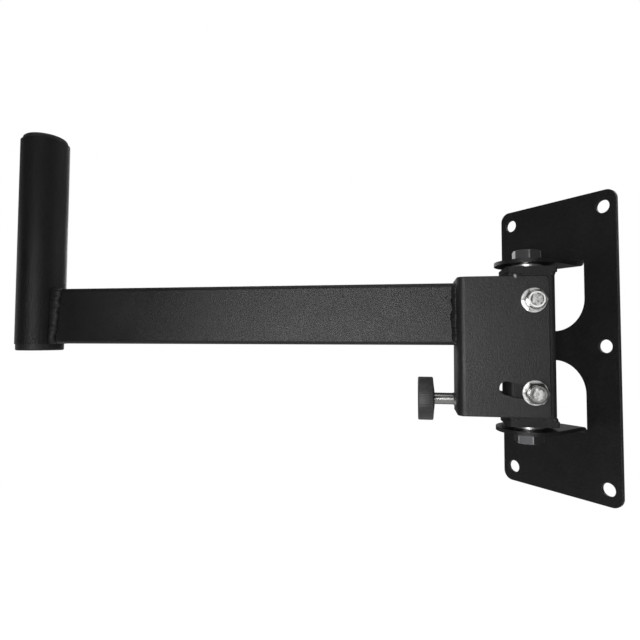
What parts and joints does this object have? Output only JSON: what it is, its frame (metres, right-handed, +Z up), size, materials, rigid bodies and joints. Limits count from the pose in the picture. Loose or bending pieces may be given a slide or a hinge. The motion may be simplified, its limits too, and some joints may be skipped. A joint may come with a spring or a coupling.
{
  "type": "speaker wall bracket",
  "caption": "Black steel wall bracket for a pole-mount loudspeaker: screw-on plate with folded ears, swivelling post, tilting yoke with thumb screw, box arm and upright pole.",
  "frame": {"origin": "middle of the wall plate's back face", "axes": "+Z up, +Y into the wall, so the bracket stands out towards -Y; +X to the right as seen from the room"},
  "size_m": [0.3172, 0.3256, 0.2718],
  "materials": {
    "powder_coat": "satin-matt black powder coat, finely textured",
    "bright_zinc": "bright zinc plating",
    "dark_bolt": "blackened steel with worn shiny edges",
    "knob": "dark grey moulded plastic, knurled rim",
    "cap": "black moulded plastic",
    "nylon": "off-white nylon"
  },
  "bodies": {
    "wall": {"wall_plate": "powder_coat"},
    "swivel": {"post_tube": "powder_coat", "post_top_plate": "powder_coat", "post_bottom_plate": "powder_coat", "post_welds": "powder_coat", "upper_pivot_bolt": "dark_bolt", "upper_pivot_washer": "dark_bolt", "upper_pivot_spacer": "bright_zinc", "upper_pivot_nut": "powder_coat", "lower_pivot_bolt": "dark_bolt", "lower_pivot_washer": "dark_bolt", "lower_pivot_spacer": "bright_zinc", "lower_pivot_nut": "powder_coat", "tilt_bolt": "bright_zinc", "tilt_head_washer": "bright_zinc", "tilt_nut_washer": "bright_zinc", "tilt_nut": "bright_zinc", "tilt_nut_insert": "nylon", "clamp_bolt": "bright_zinc", "clamp_head_washer": "bright_zinc", "clamp_nut_washer": "bright_zinc", "clamp_nut": "bright_zinc", "clamp_nut_insert": "nylon"},
    "arm": {"yoke": "powder_coat", "thumb_weld_nut": "powder_coat", "arm_tube": "powder_coat", "arm_root_weld": "powder_coat", "pole_weld": "powder_coat", "speaker_pole": "powder_coat", "pole_top_cap": "cap", "pole_bottom_cap": "cap"},
    "thumb": {"thumb_screw": "bright_zinc", "thumb_knob": "knob"}
  },
  "joints": [
    {"name": "swivel_turn", "type": "hinge", "parent": "wall", "child": "swivel", "pos_m": [0, -0.035, 0], "axis": [0, 0, 1], "range_deg": [-47, 133]},
    {"name": "arm_tilt", "type": "hinge", "parent": "swivel", "child": "arm", "pos_m": [0, -0.035, 0.03], "axis": [0.7314, -0.682, 0], "range_deg": [0, 15]},
    {"name": "thumb_slide", "type": "slide", "parent": "arm", "child": "thumb", "axis": [-0.682, -0.7314, 0], "range_m": [0, 0.0188]}
  ],
  "couplings": [
    {"joint": "thumb_slide", "follows": "arm_tilt", "m_per_rad": 0.0712}
  ]
}
